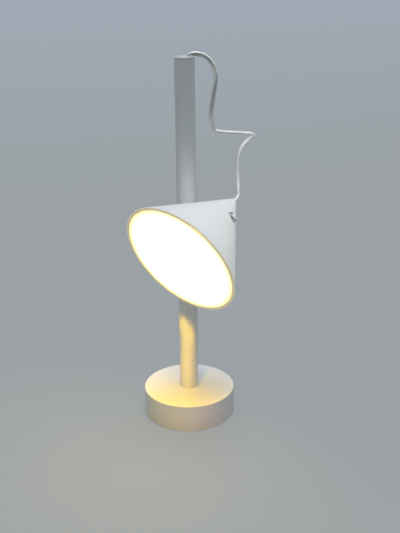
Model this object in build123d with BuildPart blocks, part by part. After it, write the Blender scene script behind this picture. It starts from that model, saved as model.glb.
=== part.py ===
from build123d import *
import os
from math import cos, pi, radians, sin, sqrt, tan

# Table lamp: a weighted drum base, a round post, and a conical head on a collar that slides and turns on the post.
# The flex leaves the post's swivel cap and enters the head at its tip.
# The origin is the centre of the foot pad's lower face, +Z is up, and the head hangs on the -Y side of the post.
# Lengths are in millimetres and angles in degrees.

# Clearances
RUN_GAP = 0.05  # between pieces that move on each other
SEAT_GAP = 0.1  # round pieces that slip into a seat
OVERRUN = 2.0  # how far a cutting shape passes the face that it cuts

# Base drum
BASE_DIAMETER = 123.0
BASE_HEIGHT = 38.0
BASE_WALL = 1.5
BASE_EDGE_ROUND = 1.0
BASE_LIFT = 1.0  # lower edge of the drum over the table
FOOT_THICKNESS = 2.0
FOOT_INSET = 3.0
FOOT_CHAMFER = 0.5
PLATE_THICKNESS = 2.0
PLATE_GAP = 0.3

# Base weight and the screws that hold the plate to it
CHAMBER_HEIGHT = 15.5  # clear height between the plate and the weight
WEIGHT_GAP = 0.5
WEIGHT_ROUND = 2.0
PILLAR_DIAMETER = 9.0
PILLAR_INSET = 10.0  # from the drum's inner wall to a pillar's axis
PILLAR_COUNT = 4
PILLAR_ANGLE = 45.0
SCREW_DIAMETER = 3.0
SCREW_HEAD_DIAMETER = 5.6
SCREW_HEAD_ANGLE = 82.0
SCREW_LENGTH = 11.0

# Lead gland at the back of the drum
GLAND_BORE = 6.2
GLAND_NECK = 9.0
GLAND_FLANGE = 13.0
GLAND_FLANGE_THICKNESS = 1.8
GLAND_LIP = 11.0
GLAND_LIP_THICKNESS = 1.8

# Light source driver on the base plate
BOARD_LENGTH = 44.0
BOARD_WIDTH = 24.0
BOARD_THICKNESS = 1.6
BOARD_MARGIN = 12.0  # from the drum's inner wall to the board
BOARD_HOLE_INSET = 3.0
SPACER_HEIGHT = 3.0
SPACER_DIAMETER = 5.0
TRANSFORMER_LENGTH = 15.0
TRANSFORMER_WIDTH = 17.0
TRANSFORMER_HEIGHT = 9.5
TRANSFORMER_ROUND = 1.5
TRANSFORMER_OFFSET = 13.0
CAPACITOR_DIAMETER = 8.0
CAPACITOR_HEIGHT = 9.0
CAPACITOR_ROUND = 0.8
CAPACITOR_OFFSET = 14.0
CAPACITOR_SPACING = 9.5
TERMINAL_LENGTH = 11.0
TERMINAL_WIDTH = 8.0
TERMINAL_INSET = 1.0

# Post
POST_DIAMETER = 25.0
POST_WALL = 1.5
POST_HEIGHT = 482.0  # top of the cap over the table
STUD_DIAMETER = 10.0
STUD_BORE = 7.0
STUD_TAIL = 1.0
PLUG_HEIGHT = 16.0
POST_NUT_WIDTH = 16.0
POST_NUT_HEIGHT = 5.0
POST_WASHER_DIAMETER = 20.0
POST_WASHER_THICKNESS = 1.5
NUT_RECESS_DIAMETER = 24.0
CAP_THICKNESS = 2.5
CAP_ROUND = 2.0
CAP_SPIGOT = 9.0
CAP_BORE = 18.0
GROMMET_OFFSET = 2.7  # from the post's axis, the way that the flex leaves
GROMMET_FLANGE = 12.0
GROMMET_FLANGE_THICKNESS = 1.0
GROMMET_NECK = 10.0
GROMMET_LIP_THICKNESS = 1.0

# Flat two-core flex, and a round one of the same section for its free stretch
FLEX_WIDTH = 5.5
FLEX_THICKNESS = 2.4
FLEX_ROUND_DIAMETER = 3.9
FLEX_BEND = 8.0
FLEX_JOIN_GAP = 0.25
FLEX_HEADING = -13.2  # the way that the flex leaves the cap, from +X
FLEX_CLIMB = 45.0  # of the flex where it leaves the cap, over level
FLEX_EXIT = 4.0  # from the post's axis to the flex, at the cap's top
FLEX_EXIT_BEND = 4.0
FLEX_EXIT_RUN = 2.0  # from the cap's top to the start of the free stretch
FLEX_TURN_RUN = 2.4
FLEX_TIP_RUN = 9.0

# Sliding collar
PIVOT_HEIGHT = 269.7
COLLAR_HEIGHT = 26.0
COLLAR_WALL = 1.6
BUSH_WALL = 1.1
BUSH_FLANGE_THICKNESS = 1.5
BUSH_SLIT = 1.6
CLIP_THICKNESS = 1.5
CLIP_SLIT = 4.0
BOSS_DIAMETER = 16.0
BOSS_PROUD = 0.4

# Tilt pivot
PIVOT_STUD_DIAMETER = 5.0
PIVOT_HEAD_DIAMETER = 9.0
PIVOT_HEAD_THICKNESS = 1.0
PIVOT_STUD_TAIL = 1.2
PAD_DIAMETER = 15.0
PAD_THICKNESS = 0.7
BACKING_DIAMETER = 15.0
BACKING_THICKNESS = 1.4
PIVOT_WASHER_DIAMETER = 10.0
PIVOT_WASHER_THICKNESS = 1.0
PIVOT_NUT_WIDTH = 8.0
PIVOT_NUT_HEIGHT = 4.0

# Conical head. Levels are measured along its axis from the point of the cone.
HEAD_TILT = 30.5  # the cone's side at the pivot, below level
PIVOT_SLANT = 71.0  # from the point of the cone to the pivot, along its side
SHADE_DIAMETER = 158.4
SHADE_HALF_ANGLE = 32.9
SHADE_WALL = 1.2
SHADE_START = 12.0
TIP_START = 5.0
TIP_SPIGOT = 7.0
TIP_NUT_LEVEL = 1.5
TIP_NUT_HEIGHT = 4.0
SINK_LEVEL = 86.0
SINK_THICKNESS = 2.5
SINK_RIM = 2.0
SINK_RIM_HEIGHT = 9.0
FIN_COUNT = 12
FIN_THICKNESS = 1.6
FIN_HEIGHT = 8.0
FIN_INNER_RADIUS = 14.0
FIN_OUTER_RADIUS = 40.0
LED_BOARD_DIAMETER = 98.0
LED_BOARD_THICKNESS = 1.6
LED_LENGTH = 3.5
LED_WIDTH = 2.8
LED_HEIGHT = 0.8
LED_INNER_DIAMETER = 44.0
LED_INNER_COUNT = 8
LED_OUTER_DIAMETER = 80.0
LED_OUTER_COUNT = 16
LED_SCREW_CIRCLE = 62.0
LED_SCREW_COUNT = 3
LED_SCREW_DIAMETER = 3.0
LED_SCREW_HEAD_DIAMETER = 5.5
LED_SCREW_HEAD_HEIGHT = 1.8
LED_SCREW_LENGTH = 6.0
HEAD_TERMINAL_LENGTH = 12.0
HEAD_TERMINAL_WIDTH = 9.0
HEAD_TERMINAL_HEIGHT = 8.0
REFLECTOR_WALL = 1.0
REFLECTOR_LIFT = 0.5
DIFFUSER_THICKNESS = 2.0
DIFFUSER_FLANGE = 1.8
DIFFUSER_PROUD = 0.4  # over the ring, at its edge
DIFFUSER_DOME = 4.0
DIFFUSER_ROUND = 0.8
RING_HEIGHT = 1.4
RING_WIDTH = 3.6
RING_ROUND = 0.5

# Push switch in the side of the head
SWITCH_SLANT = 50.0  # from the point of the cone, along its side
SWITCH_NECK = 10.0
SWITCH_DEPTH = 14.0
SWITCH_FLOOR = 2.0
SWITCH_RIM = 1.2
BEZEL_DIAMETER = 13.0
BEZEL_HEIGHT = 1.6
BEZEL_ROUND = 0.6
BUTTON_DIAMETER = 7.6
BUTTON_LENGTH = 10.0
BUTTON_PROUD = 1.7
BUTTON_ROUND = 1.2
SWITCH_NUT_WIDTH = 14.0
SWITCH_NUT_HEIGHT = 2.5

# Free stretch of the flex, from the post's cap to the head's tip: the places that it passes, chosen one by one
FLEX_ROUTE = [
    (13.0, -3.4, 485.4),
    (19.5, -6.3, 484.2),
    (26.2, -10.6, 479.4),
    (32.0, -15.7, 470.5),
    (33.8, -19.4, 456.2),
    (31.5, -19.8, 439.2),
    (29.1, -17.6, 422.3),
    (28.6, -15.0, 408.0),
    (33.1, -12.8, 394.3),
    (46.8, -10.2, 391.0),
    (61.3, -6.7, 389.3),
    (76.2, -3.3, 387.0),
    (89.8, 1.4, 384.4),
    (96.9, 11.6, 379.1),
    (90.4, 18.2, 374.7),
    (78.2, 15.2, 368.1),
    (70.5, 9.2, 357.8),
    (67.6, 3.2, 345.8),
    (67.4, -1.9, 333.2),
    (67.8, -6.6, 321.3),
    (66.5, -10.8, 312.8),
]

# Base: places
base_radius = BASE_DIAMETER / 2
base_bore = base_radius - BASE_WALL
plate_radius = base_bore - PLATE_GAP
plate_top = FOOT_THICKNESS + PLATE_THICKNESS
drum_ceiling = BASE_HEIGHT - BASE_WALL
weight_floor = plate_top + CHAMBER_HEIGHT
weight_height = drum_ceiling - weight_floor
lead_height = (plate_top + weight_floor) / 2
pillar_radius = base_bore - PILLAR_INSET
screw_radius = SCREW_DIAMETER / 2
screw_head_radius = SCREW_HEAD_DIAMETER / 2
screw_head_height = (screw_head_radius - screw_radius) / tan(radians(SCREW_HEAD_ANGLE / 2))
underside = Plane(origin=(0, 0, FOOT_THICKNESS), z_dir=(0, 0, -1))

# Post: places
post_radius = POST_DIAMETER / 2
post_bore = post_radius - POST_WALL
stud_radius = STUD_DIAMETER / 2
nut_stack = POST_WASHER_THICKNESS + POST_NUT_HEIGHT + STUD_TAIL
stud_end = weight_floor + STUD_TAIL
recess_ceiling = stud_end + nut_stack
cap_seat = POST_HEIGHT - CAP_THICKNESS
tube_top = cap_seat - RUN_GAP
cap_floor = cap_seat - CAP_SPIGOT
grommet_neck = GROMMET_NECK / 2
grommet_flange = GROMMET_FLANGE / 2

# Flex at the cap: places
climb = radians(FLEX_CLIMB)
heading = Vector(cos(radians(FLEX_HEADING)), sin(radians(FLEX_HEADING)), 0)
across = Vector(0, 0, 1).cross(heading)
exit_dir = heading * cos(climb) + Vector(0, 0, sin(climb))
exit_place = Vector(0, 0, POST_HEIGHT) + heading * FLEX_EXIT
exit_corner = Vector(0, 0, POST_HEIGHT - FLEX_EXIT * tan(climb))
exit_plane = Plane(origin=exit_place, x_dir=across, z_dir=exit_dir)
flex_start = exit_place + exit_dir * FLEX_EXIT_RUN
grommet_place = Vector(0, 0, POST_HEIGHT) + heading * GROMMET_OFFSET
slot_depth = (CAP_THICKNESS + GROMMET_LIP_THICKNESS) / sin(climb) + FLEX_THICKNESS

# Driver board: places
board_floor = plate_top + SPACER_HEIGHT
board_top = board_floor + BOARD_THICKNESS
flex_level = stud_end - FLEX_BEND
board_offset = base_bore - BOARD_MARGIN - BOARD_WIDTH / 2
terminal_face = board_offset - BOARD_WIDTH / 2 + TERMINAL_INSET

# Collar and pivot: places
bush_bore = post_radius + RUN_GAP
bush_radius = bush_bore + BUSH_WALL
collar_bore = bush_radius + SEAT_GAP
collar_radius = collar_bore + COLLAR_WALL
collar_floor = PIVOT_HEIGHT - COLLAR_HEIGHT / 2
collar_top = PIVOT_HEIGHT + COLLAR_HEIGHT / 2
boss_face = collar_radius + BOSS_PROUD
pad_face = boss_face + RUN_GAP
standoff = pad_face + PAD_THICKNESS
stud_seat = collar_bore + SEAT_GAP + PIVOT_HEAD_THICKNESS
backing_face = standoff + SHADE_WALL + BACKING_THICKNESS
nut_face = backing_face + PIVOT_WASHER_THICKNESS + RUN_GAP
pivot_stud_end = nut_face + PIVOT_NUT_HEIGHT + PIVOT_STUD_TAIL
pivot_radius = PIVOT_STUD_DIAMETER / 2


def pivot_plane(reach):
    """The upright plane at that distance in front of the post's axis, facing away from the post."""
    return Plane(origin=(0, -reach, PIVOT_HEIGHT), x_dir=(1, 0, 0), z_dir=(0, -1, 0))


# Head: its cone touches the upright plane at standoff along one side, which dips by HEAD_TILT.
slope = radians(SHADE_HALF_ANGLE)
side_dir = Vector(-cos(radians(HEAD_TILT)), 0, -sin(radians(HEAD_TILT)))
away_dir = Vector(0, -1, 0)
head_dir = side_dir * cos(slope) + away_dir * sin(slope)
post_side = side_dir * sin(slope) - away_dir * cos(slope)
pivot = Vector(0, -standoff, PIVOT_HEIGHT)
cone_point = pivot - side_dir * PIVOT_SLANT
head_axis = Axis(cone_point, head_dir)
head_section = Plane(origin=cone_point, x_dir=post_side, z_dir=post_side.cross(head_dir))
mouth = SHADE_DIAMETER / 2 / tan(slope)
sink_front = SINK_LEVEL + SINK_THICKNESS
led_level = sink_front + LED_BOARD_THICKNESS
ring_front = mouth + RING_HEIGHT
flange_back = mouth - DIFFUSER_FLANGE
diffuser_edge = ring_front + DIFFUSER_PROUD
diffuser_top = diffuser_edge + DIFFUSER_DOME
terminal_back = SINK_LEVEL - HEAD_TERMINAL_HEIGHT


def head_level(level):
    """The plane across the head's axis at that level, facing the mouth."""
    return Plane(origin=cone_point + head_dir * level, x_dir=post_side, z_dir=head_dir)


def outside(level):
    """The cone's outer radius at a level."""
    return level * tan(slope)


def inside(level):
    """The cone's inner radius at a level."""
    return outside(level) - SHADE_WALL / cos(slope)


# Switch: it sits on the side of the cone that faces away from the post.
switch_side = head_dir * cos(slope) - post_side * sin(slope)
switch_out = post_side * -cos(slope) - head_dir * sin(slope)
switch_place = cone_point + switch_side * SWITCH_SLANT
switch_plane = Plane(origin=switch_place, x_dir=switch_side, z_dir=switch_out)
switch_neck = SWITCH_NECK / 2
button_radius = BUTTON_DIAMETER / 2
inner_curve = SWITCH_SLANT * tan(slope) - SHADE_WALL
nut_corner = SWITCH_NUT_WIDTH / sqrt(3)
switch_nut_seat = SHADE_WALL + SEAT_GAP + inner_curve - sqrt(inner_curve**2 - nut_corner**2)

# Foot pad
with BuildPart() as foot_pad:
    with BuildSketch():
        Circle(plate_radius - FOOT_INSET)
    extrude(amount=FOOT_THICKNESS)
    chamfer(foot_pad.edges().group_by(Axis.Z)[0], length=FOOT_CHAMFER)

# Base plate, countersunk from below
with BuildPart(underside) as base_plate:
    with BuildSketch(underside):
        Circle(plate_radius)
    extrude(amount=-PLATE_THICKNESS)
    with PolarLocations(pillar_radius, PILLAR_COUNT, start_angle=PILLAR_ANGLE):
        CounterSinkHole(
            radius=screw_radius + SEAT_GAP,
            counter_sink_radius=screw_head_radius + SEAT_GAP,
            counter_sink_angle=SCREW_HEAD_ANGLE,
        )

# Countersunk screws under the foot pad
with BuildPart(underside) as plate_screws:
    with PolarLocations(pillar_radius, PILLAR_COUNT, start_angle=PILLAR_ANGLE):
        Cone(
            bottom_radius=screw_radius,
            top_radius=screw_head_radius,
            height=screw_head_height,
            align=(Align.CENTER, Align.CENTER, Align.MAX),
        )
        Cylinder(screw_radius, SCREW_LENGTH, align=(Align.CENTER, Align.CENTER, Align.MAX))

# Drum: a drawn cup with a hole for the post's stud and one for the lead gland
with BuildPart() as base_shell:
    with BuildSketch(Plane.XY.offset(BASE_LIFT)):
        Circle(base_radius)
    extrude(amount=BASE_HEIGHT - BASE_LIFT)
    fillet(base_shell.edges().group_by(Axis.Z)[-1], radius=BASE_EDGE_ROUND)
    with BuildSketch(Plane.XY.offset(BASE_LIFT)):
        Circle(base_bore)
    extrude(amount=drum_ceiling - BASE_LIFT, mode=Mode.SUBTRACT)
    with Locations((0, 0, BASE_HEIGHT)):
        Hole(stud_radius + SEAT_GAP, depth=BASE_WALL + OVERRUN)
    with Locations(Plane(origin=(0, base_radius, lead_height), z_dir=(0, 1, 0))):
        Hole(GLAND_NECK / 2 + SEAT_GAP, depth=BASE_WALL + OVERRUN)

# Cast weight with pillars for the plate's screws and a recess for the post's nut
with BuildPart() as base_weight:
    with BuildSketch(Plane.XY.offset(weight_floor)):
        Circle(base_bore - WEIGHT_GAP)
    extrude(amount=weight_height)
    fillet(base_weight.edges().group_by(Axis.Z)[0], radius=WEIGHT_ROUND)
    with BuildSketch(Plane.XY.offset(plate_top)):
        with PolarLocations(pillar_radius, PILLAR_COUNT, start_angle=PILLAR_ANGLE):
            Circle(PILLAR_DIAMETER / 2)
    extrude(amount=weight_floor + OVERRUN - plate_top)
    with BuildSketch(Plane.XY.offset(plate_top)):
        with PolarLocations(pillar_radius, PILLAR_COUNT, start_angle=PILLAR_ANGLE):
            Circle(screw_radius + RUN_GAP)
    extrude(amount=SCREW_LENGTH, mode=Mode.SUBTRACT)
    with BuildSketch(Plane.XY.offset(weight_floor)):
        Circle(NUT_RECESS_DIAMETER / 2)
    extrude(amount=recess_ceiling - weight_floor, mode=Mode.SUBTRACT)
    with BuildSketch(Plane.XY.offset(weight_floor)):
        Circle(stud_radius + SEAT_GAP)
    extrude(amount=weight_height, mode=Mode.SUBTRACT)

# Lead gland: a grommet snapped into the drum's wall
gland_lip_face = sqrt(base_bore**2 - (GLAND_LIP / 2) ** 2)
gland_section = Plane(origin=(0, 0, lead_height), x_dir=(0, 1, 0), z_dir=(1, 0, 0))
with BuildPart() as lead_gland:
    with BuildSketch(gland_section):
        with BuildLine():
            Polyline(
                (gland_lip_face - GLAND_LIP_THICKNESS, GLAND_BORE / 2),
                (base_radius + GLAND_FLANGE_THICKNESS, GLAND_BORE / 2),
                (base_radius + GLAND_FLANGE_THICKNESS, GLAND_FLANGE / 2),
                (base_radius, GLAND_FLANGE / 2),
                (base_radius, GLAND_NECK / 2),
                (gland_lip_face, GLAND_NECK / 2),
                (gland_lip_face, GLAND_LIP / 2),
                (gland_lip_face - GLAND_LIP_THICKNESS, GLAND_LIP / 2),
                close=True,
            )
        make_face()
    revolve(axis=Axis((0, 0, lead_height), (0, 1, 0)))

# Driver board on four spacers
hole_grid = (BOARD_WIDTH - 2 * BOARD_HOLE_INSET, BOARD_LENGTH - 2 * BOARD_HOLE_INSET)
with BuildPart() as driver_board:
    with BuildSketch(Plane.XY.offset(board_floor)):
        with Locations((-board_offset, 0)):
            Rectangle(BOARD_WIDTH, BOARD_LENGTH)
    extrude(amount=BOARD_THICKNESS)

with BuildPart() as board_spacers:
    with BuildSketch(Plane.XY.offset(plate_top)):
        with Locations((-board_offset, 0)):
            with GridLocations(*hole_grid, 2, 2):
                Circle(SPACER_DIAMETER / 2)
    extrude(amount=SPACER_HEIGHT)

with BuildPart() as driver_transformer:
    with BuildSketch(Plane.XY.offset(board_top)):
        with Locations((-board_offset, TRANSFORMER_OFFSET)):
            Rectangle(TRANSFORMER_WIDTH, TRANSFORMER_LENGTH)
    extrude(amount=TRANSFORMER_HEIGHT)
    fillet(driver_transformer.edges().filter_by(Axis.Z), radius=TRANSFORMER_ROUND)

with BuildPart() as driver_capacitors:
    with BuildSketch(Plane.XY.offset(board_top)):
        with Locations((-board_offset, -CAPACITOR_OFFSET)):
            with GridLocations(CAPACITOR_SPACING, 0, 2, 1):
                Circle(CAPACITOR_DIAMETER / 2)
    extrude(amount=CAPACITOR_HEIGHT)
    fillet(driver_capacitors.edges().group_by(Axis.Z)[-1], radius=CAPACITOR_ROUND)

with BuildPart() as driver_terminal:
    with BuildSketch(Plane.XY.offset(board_top)):
        with Locations((-terminal_face - TERMINAL_WIDTH / 2, 0)):
            Rectangle(TERMINAL_WIDTH, TERMINAL_LENGTH)
    extrude(amount=2 * (flex_level - board_top))

# Post: tube, threaded foot plug, hollow stud, washer and nut
with BuildPart() as post_tube:
    with BuildSketch(Plane.XY.offset(BASE_HEIGHT)):
        Circle(post_radius)
        Circle(post_bore, mode=Mode.SUBTRACT)
    extrude(amount=tube_top - BASE_HEIGHT)

with BuildPart() as post_foot:
    with BuildSketch(Plane.XY.offset(BASE_HEIGHT)):
        Circle(post_bore - SEAT_GAP)
        Circle(stud_radius + RUN_GAP, mode=Mode.SUBTRACT)
    extrude(amount=PLUG_HEIGHT)

with BuildPart() as post_stud:
    with BuildSketch(Plane.XY.offset(stud_end)):
        Circle(stud_radius)
        Circle(STUD_BORE / 2, mode=Mode.SUBTRACT)
    extrude(amount=BASE_HEIGHT + PLUG_HEIGHT - stud_end)

with BuildPart() as post_washer:
    with BuildSketch(Plane.XY.offset(recess_ceiling)):
        Circle(POST_WASHER_DIAMETER / 2)
        Circle(stud_radius + SEAT_GAP, mode=Mode.SUBTRACT)
    extrude(amount=-POST_WASHER_THICKNESS)

with BuildPart() as post_nut:
    with BuildSketch(Plane.XY.offset(stud_end + STUD_TAIL)):
        RegularPolygon(POST_NUT_WIDTH / 2, 6, major_radius=False)
        Circle(stud_radius + RUN_GAP, mode=Mode.SUBTRACT)
    extrude(amount=POST_NUT_HEIGHT)

# Swivel cap with a hollow spigot and a flush grommet, through which the flex climbs
with BuildPart() as post_cap:
    with BuildSketch(Plane.XY.offset(cap_seat)):
        Circle(post_radius)
    extrude(amount=CAP_THICKNESS)
    fillet(post_cap.edges().group_by(Axis.Z)[-1], radius=CAP_ROUND)
    with BuildSketch(Plane.XY.offset(cap_seat)):
        Circle(post_bore - RUN_GAP)
        Circle(CAP_BORE / 2, mode=Mode.SUBTRACT)
    extrude(amount=-CAP_SPIGOT)
    with Locations(grommet_place):
        CounterBoreHole(
            radius=grommet_neck + SEAT_GAP,
            counter_bore_radius=grommet_flange + SEAT_GAP,
            counter_bore_depth=GROMMET_FLANGE_THICKNESS,
        )

grommet_top = Plane(origin=grommet_place, x_dir=heading)
with BuildPart() as cap_grommet:
    with BuildSketch(grommet_top):
        Circle(grommet_flange)
    extrude(amount=-GROMMET_FLANGE_THICKNESS)
    with BuildSketch(grommet_top):
        Circle(grommet_neck)
    extrude(amount=-CAP_THICKNESS)
    with BuildSketch(grommet_top.offset(-CAP_THICKNESS)):
        Circle(grommet_flange)
    extrude(amount=-GROMMET_LIP_THICKNESS)
    with BuildSketch(exit_plane.offset(FLEX_EXIT_RUN)):
        SlotOverall(FLEX_WIDTH + 2 * SEAT_GAP, FLEX_THICKNESS + 2 * SEAT_GAP)
    extrude(amount=-FLEX_EXIT_RUN - slot_depth, mode=Mode.SUBTRACT)

# Flex inside the base and the post, and its end in the swivel cap
with BuildPart() as inner_flex:
    with BuildLine() as inner_route:
        FilletPolyline(
            (-terminal_face, 0, flex_level),
            (0, 0, flex_level),
            (0, 0, cap_floor - FLEX_JOIN_GAP),
            radius=FLEX_BEND,
        )
    with BuildSketch(Plane(origin=(-terminal_face, 0, flex_level), x_dir=(0, 1, 0), z_dir=(1, 0, 0))):
        SlotOverall(FLEX_WIDTH, FLEX_THICKNESS)
    sweep(path=inner_route.line)

with BuildPart() as cap_flex:
    with BuildLine() as cap_route:
        FilletPolyline((0, 0, cap_floor), exit_corner, flex_start, radius=FLEX_EXIT_BEND)
    with BuildSketch(Plane(origin=(0, 0, cap_floor), x_dir=across, z_dir=(0, 0, 1))):
        SlotOverall(FLEX_WIDTH, FLEX_THICKNESS)
    sweep(path=cap_route.line)

# Free flex: straight runs joined by arcs, each as large as its two runs allow
ARC_SHARE = 0.45
flex_end = cone_point + head_dir * (TIP_START - FLEX_JOIN_GAP)
flex_points = [flex_start, flex_start + exit_dir * FLEX_TURN_RUN, *(Vector(*p) for p in FLEX_ROUTE)]
flex_points += [flex_end - head_dir * FLEX_TIP_RUN, flex_end]


def arc_radius(before, corner, after):
    """The radius that takes up ARC_SHARE of the shorter of the two runs that meet at a corner."""
    run_in = corner - before
    run_out = after - corner
    half_turn = radians(run_in.get_angle(run_out)) / 2
    return ARC_SHARE * min(run_in.length, run_out.length) / tan(half_turn)


flex_radii = [arc_radius(*corner) for corner in zip(flex_points, flex_points[1:], flex_points[2:])]
with BuildPart() as flex_cord:
    with BuildLine() as flex_line:
        FilletPolyline(*flex_points, radius=flex_radii)
    with BuildSketch(exit_plane.offset(FLEX_EXIT_RUN)):
        Circle(FLEX_ROUND_DIAMETER / 2)
    sweep(path=flex_line.line)

# Slider bush: a slit nylon sleeve that grips the post, with a flange under the collar and a clip over it
with BuildPart() as slider_bush:
    with BuildSketch(Plane.XY.offset(collar_floor - BUSH_FLANGE_THICKNESS)):
        Circle(collar_radius)
    extrude(amount=BUSH_FLANGE_THICKNESS)
    with BuildSketch(Plane.XY.offset(collar_floor)):
        Circle(bush_radius)
    extrude(amount=COLLAR_HEIGHT + CLIP_THICKNESS)
    with BuildSketch(Plane.XY.offset(collar_floor - BUSH_FLANGE_THICKNESS)):
        Circle(bush_bore)
        with Locations((0, collar_radius)):
            Rectangle(BUSH_SLIT, 2 * collar_radius)
    extrude(amount=BUSH_FLANGE_THICKNESS + COLLAR_HEIGHT + CLIP_THICKNESS, mode=Mode.SUBTRACT)

with BuildPart() as bush_clip:
    with BuildSketch(Plane.XY.offset(collar_top)):
        Circle(collar_radius)
        Circle(bush_radius + RUN_GAP, mode=Mode.SUBTRACT)
        with Locations((0, collar_radius)):
            Rectangle(CLIP_SLIT, 2 * collar_radius, mode=Mode.SUBTRACT)
    extrude(amount=CLIP_THICKNESS)

# Collar with a round boss that faces the head
with BuildPart() as collar:
    with BuildSketch(Plane.XY.offset(collar_floor)):
        Circle(collar_radius)
    extrude(amount=COLLAR_HEIGHT)
    with BuildSketch(pivot_plane(boss_face)):
        Circle(BOSS_DIAMETER / 2)
    extrude(amount=-boss_face)
    with BuildSketch(Plane.XY.offset(collar_floor)):
        Circle(collar_bore)
    extrude(amount=COLLAR_HEIGHT, mode=Mode.SUBTRACT)
    with BuildSketch(pivot_plane(stud_seat)):
        Circle(PIVOT_HEAD_DIAMETER / 2 + SEAT_GAP)
    extrude(amount=-PIVOT_HEAD_THICKNESS - OVERRUN, mode=Mode.SUBTRACT)
    with BuildSketch(pivot_plane(stud_seat)):
        Circle(pivot_radius + RUN_GAP)
    extrude(amount=boss_face - stud_seat, mode=Mode.SUBTRACT)

# Tilt pivot: a flat-headed stud from inside the collar, and its nut inside the head
with BuildPart() as pivot_stud:
    with BuildSketch(pivot_plane(stud_seat)):
        Circle(PIVOT_HEAD_DIAMETER / 2)
    extrude(amount=-PIVOT_HEAD_THICKNESS)
    with BuildSketch(pivot_plane(stud_seat)):
        Circle(pivot_radius)
    extrude(amount=pivot_stud_end - stud_seat)

with BuildPart() as pivot_nut:
    with BuildSketch(pivot_plane(nut_face)):
        RegularPolygon(PIVOT_NUT_WIDTH / 2, 6, major_radius=False)
        Circle(pivot_radius + RUN_GAP, mode=Mode.SUBTRACT)
    extrude(amount=PIVOT_NUT_HEIGHT)

# The cone as a solid, outside and inside its wall, for pieces that lie against it
with BuildPart() as cone_outside:
    with BuildSketch(head_section):
        Polygon((0, 0), (outside(mouth), mouth), (0, mouth), align=None)
    revolve(axis=head_axis)

cone_inside_start = SHADE_WALL / sin(slope)
with BuildPart() as cone_inside:
    with BuildSketch(head_section):
        Polygon((0, cone_inside_start), (inside(mouth), mouth), (0, mouth), align=None)
    revolve(axis=head_axis)

# Saddle washers on both sides of the shade's wall at the pivot
with BuildPart() as pivot_pad:
    with BuildSketch(pivot_plane(pad_face)):
        Circle(PAD_DIAMETER / 2)
        Circle(pivot_radius + RUN_GAP, mode=Mode.SUBTRACT)
    extrude(amount=PAD_THICKNESS + OVERRUN)
    add(cone_outside.part, mode=Mode.SUBTRACT)

with BuildPart() as pivot_backing:
    with BuildSketch(pivot_plane(backing_face)):
        Circle(BACKING_DIAMETER / 2)
        Circle(pivot_radius + RUN_GAP, mode=Mode.SUBTRACT)
    extrude(amount=-BACKING_THICKNESS - OVERRUN)
    add(cone_inside.part, mode=Mode.INTERSECT)

with BuildPart() as pivot_washer:
    with BuildSketch(pivot_plane(backing_face)):
        Circle(PIVOT_WASHER_DIAMETER / 2)
        Circle(pivot_radius + RUN_GAP, mode=Mode.SUBTRACT)
    extrude(amount=PIVOT_WASHER_THICKNESS)

# Spun shade with holes for the pivot and the switch
with BuildPart() as shade_cone:
    with BuildSketch(head_section):
        Polygon(
            (outside(SHADE_START), SHADE_START),
            (outside(mouth), mouth),
            (inside(mouth), mouth),
            (inside(SHADE_START), SHADE_START),
            align=None,
        )
    revolve(axis=head_axis)
    with Locations(Plane(origin=pivot, z_dir=-away_dir)):
        Hole(pivot_radius + RUN_GAP, depth=SHADE_WALL + OVERRUN)
    with Locations(switch_plane):
        Hole(switch_neck + SEAT_GAP, depth=SHADE_WALL + OVERRUN)

# Tip gland that carries the cone on to the flex, and its ring nut
tip_spigot = inside(SHADE_START) - SEAT_GAP
tip_end = SHADE_START + TIP_SPIGOT
with BuildPart() as tip_gland:
    with BuildSketch(head_section):
        Polygon(
            (0, TIP_START),
            (outside(TIP_START), TIP_START),
            (outside(SHADE_START), SHADE_START),
            (tip_spigot, SHADE_START),
            (tip_spigot, tip_end),
            (0, tip_end),
            align=None,
        )
    revolve(axis=head_axis)
    with BuildSketch(head_level(TIP_START)):
        SlotOverall(FLEX_WIDTH + 2 * SEAT_GAP, FLEX_THICKNESS + 2 * SEAT_GAP)
    extrude(amount=tip_end - TIP_START, mode=Mode.SUBTRACT)

tip_nut_back = SHADE_START + TIP_NUT_LEVEL
tip_nut_front = tip_nut_back + TIP_NUT_HEIGHT
with BuildPart() as tip_nut:
    with BuildSketch(head_section):
        Polygon(
            (tip_spigot + RUN_GAP, tip_nut_back),
            (inside(tip_nut_back) - SEAT_GAP, tip_nut_back),
            (inside(tip_nut_front) - SEAT_GAP, tip_nut_front),
            (tip_spigot + RUN_GAP, tip_nut_front),
            align=None,
        )
    revolve(axis=head_axis)

# Finned heat sink bonded into the shade
sink_rim_back = sink_front - SINK_RIM_HEIGHT
with BuildPart(head_level(SINK_LEVEL)) as heat_sink:
    with BuildSketch(head_section):
        Polygon(
            (0, SINK_LEVEL),
            (inside(SINK_LEVEL) - SINK_RIM, SINK_LEVEL),
            (inside(sink_rim_back) - SINK_RIM, sink_rim_back),
            (inside(sink_rim_back) - SEAT_GAP, sink_rim_back),
            (inside(sink_front) - SEAT_GAP, sink_front),
            (0, sink_front),
            align=None,
        )
    revolve(axis=head_axis)
    with BuildSketch(head_level(SINK_LEVEL)):
        with PolarLocations((FIN_INNER_RADIUS + FIN_OUTER_RADIUS) / 2, FIN_COUNT):
            Rectangle(FIN_OUTER_RADIUS - FIN_INNER_RADIUS, FIN_THICKNESS)
    extrude(amount=-FIN_HEIGHT)
    with BuildSketch(head_level(sink_front)):
        with PolarLocations(LED_SCREW_CIRCLE / 2, LED_SCREW_COUNT):
            Circle(LED_SCREW_DIAMETER / 2 + RUN_GAP)
    extrude(amount=-LED_SCREW_LENGTH, mode=Mode.SUBTRACT)

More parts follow.
